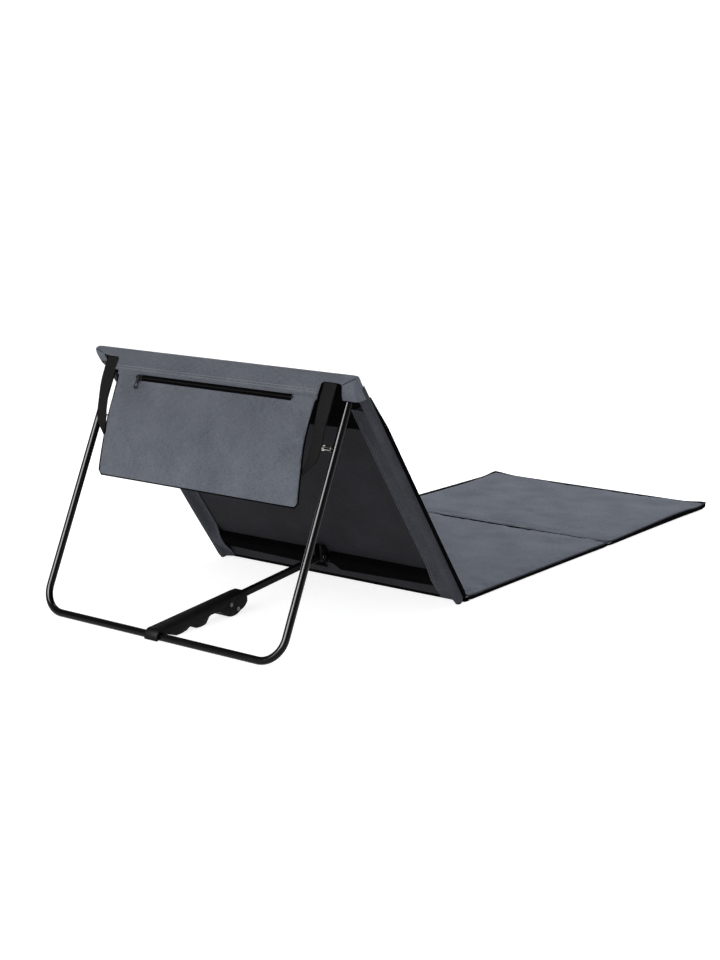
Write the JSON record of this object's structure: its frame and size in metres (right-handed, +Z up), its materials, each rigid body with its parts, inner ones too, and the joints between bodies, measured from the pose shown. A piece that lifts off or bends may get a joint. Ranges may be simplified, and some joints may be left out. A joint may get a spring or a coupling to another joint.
{
  "type": "folding beach lounger",
  "caption": "Folding beach lounger: padded ground mat with a tube-framed backrest, a swing-out support hoop, a notched angle strut and a zipped pouch behind the head.",
  "frame": {"origin": "on the floor under the middle of the whole lounger as set up", "axes": "+Z up, +Y from the foot end towards the head end, +X towards the sitter's left"},
  "size_m": [0.5228, 1.4416, 0.4143],
  "materials": {
    "grey_cloth": "plain woven polyester, slate grey",
    "dark_lining": "coated woven lining, dark grey",
    "black_cloth": "coated woven cloth, black",
    "foam": "open-cell foam sheet",
    "webbing": "flat woven webbing, black",
    "black_tube": "gloss black powder coat",
    "black_steel": "satin black paint",
    "black_plastic": "moulded black nylon",
    "bright_steel": "bright zinc plate",
    "black_metal": "black lacquered zinc alloy"
  },
  "bodies": {
    "seat": {"seat_cover": "grey_cloth", "seat_foam": "foam", "seat_base": "black_cloth", "hinge_strip": "grey_cloth"},
    "foot": {"foot_cover": "grey_cloth", "foot_foam": "foam", "foot_base": "black_cloth"},
    "backrest": {"back_cover": "grey_cloth", "back_foam": "foam", "back_lining": "dark_lining", "side_hem_left": "grey_cloth", "side_hem_right": "grey_cloth", "head_hood": "grey_cloth", "head_band": "black_cloth", "crossbar_sleeve_left": "black_cloth", "crossbar_sleeve_right": "black_cloth", "back_frame": "black_tube", "crossbar": "black_tube", "frame_feet": "black_plastic", "pivot_rivets": "bright_steel", "pivot_washers": "black_plastic", "strut_ear_left": "black_steel", "strut_ear_right": "black_steel", "strut_pin": "bright_steel"},
    "hoop": {"support_hoop": "black_tube", "hoop_plugs": "black_plastic", "strap_studs": "bright_steel", "stud_washers": "bright_steel"},
    "strut": {"strut_bar": "black_steel", "notch_rack": "black_plastic", "rack_rivets": "bright_steel"},
    "pouch": {"pouch_panel": "grey_cloth", "pouch_lining": "dark_lining", "strap_left": "webbing", "strap_right": "webbing", "zip_tapes": "webbing", "zip_coil": "black_plastic", "zip_stops": "black_metal"},
    "zip_slider_body": {"zip_slider": "black_metal"},
    "zip_puller_body": {"zip_puller": "black_metal"}
  },
  "joints": [
    {"name": "foot_fold", "type": "hinge", "parent": "seat", "child": "foot", "pos_m": [0, -0.28082, 0.0159], "axis": [-1, 0, 0], "range_deg": [0, 180]},
    {"name": "back_recline", "type": "hinge", "parent": "seat", "child": "backrest", "pos_m": [0, 0.22818, 0.017], "axis": [1, 0, 0], "range_deg": [0, 114]},
    {"name": "hoop_fold", "type": "hinge", "parent": "backrest", "child": "hoop", "pos_m": [0, 0.54034, 0.38773], "axis": [-1, 0, 0], "range_deg": [0, 57]},
    {"name": "strut_fold", "type": "hinge", "parent": "backrest", "child": "strut", "pos_m": [0, 0.29042, 0.05009], "axis": [1, 0, 0], "range_deg": [0, 50.16]},
    {"name": "pouch_swing", "type": "hinge", "parent": "backrest", "child": "pouch", "pos_m": [0, 0.57757, 0.38283], "axis": [-1, 0, 0], "range_deg": [0, 62.7]},
    {"name": "zip_run", "type": "slide", "parent": "pouch", "child": "zip_slider_body", "axis": [-1, 0, 0], "range_m": [0, 0.29]},
    {"name": "puller_swing", "type": "hinge", "parent": "zip_slider_body", "child": "zip_puller_body", "pos_m": [0, 0.58569, 0.37659], "axis": [1, 0, 0], "range_deg": [0, 150]}
  ],
  "couplings": [
    {"joint": "strut_fold", "follows": "hoop_fold", "ratio": 0.88},
    {"joint": "pouch_swing", "follows": "hoop_fold", "ratio": 1.1}
  ]
}
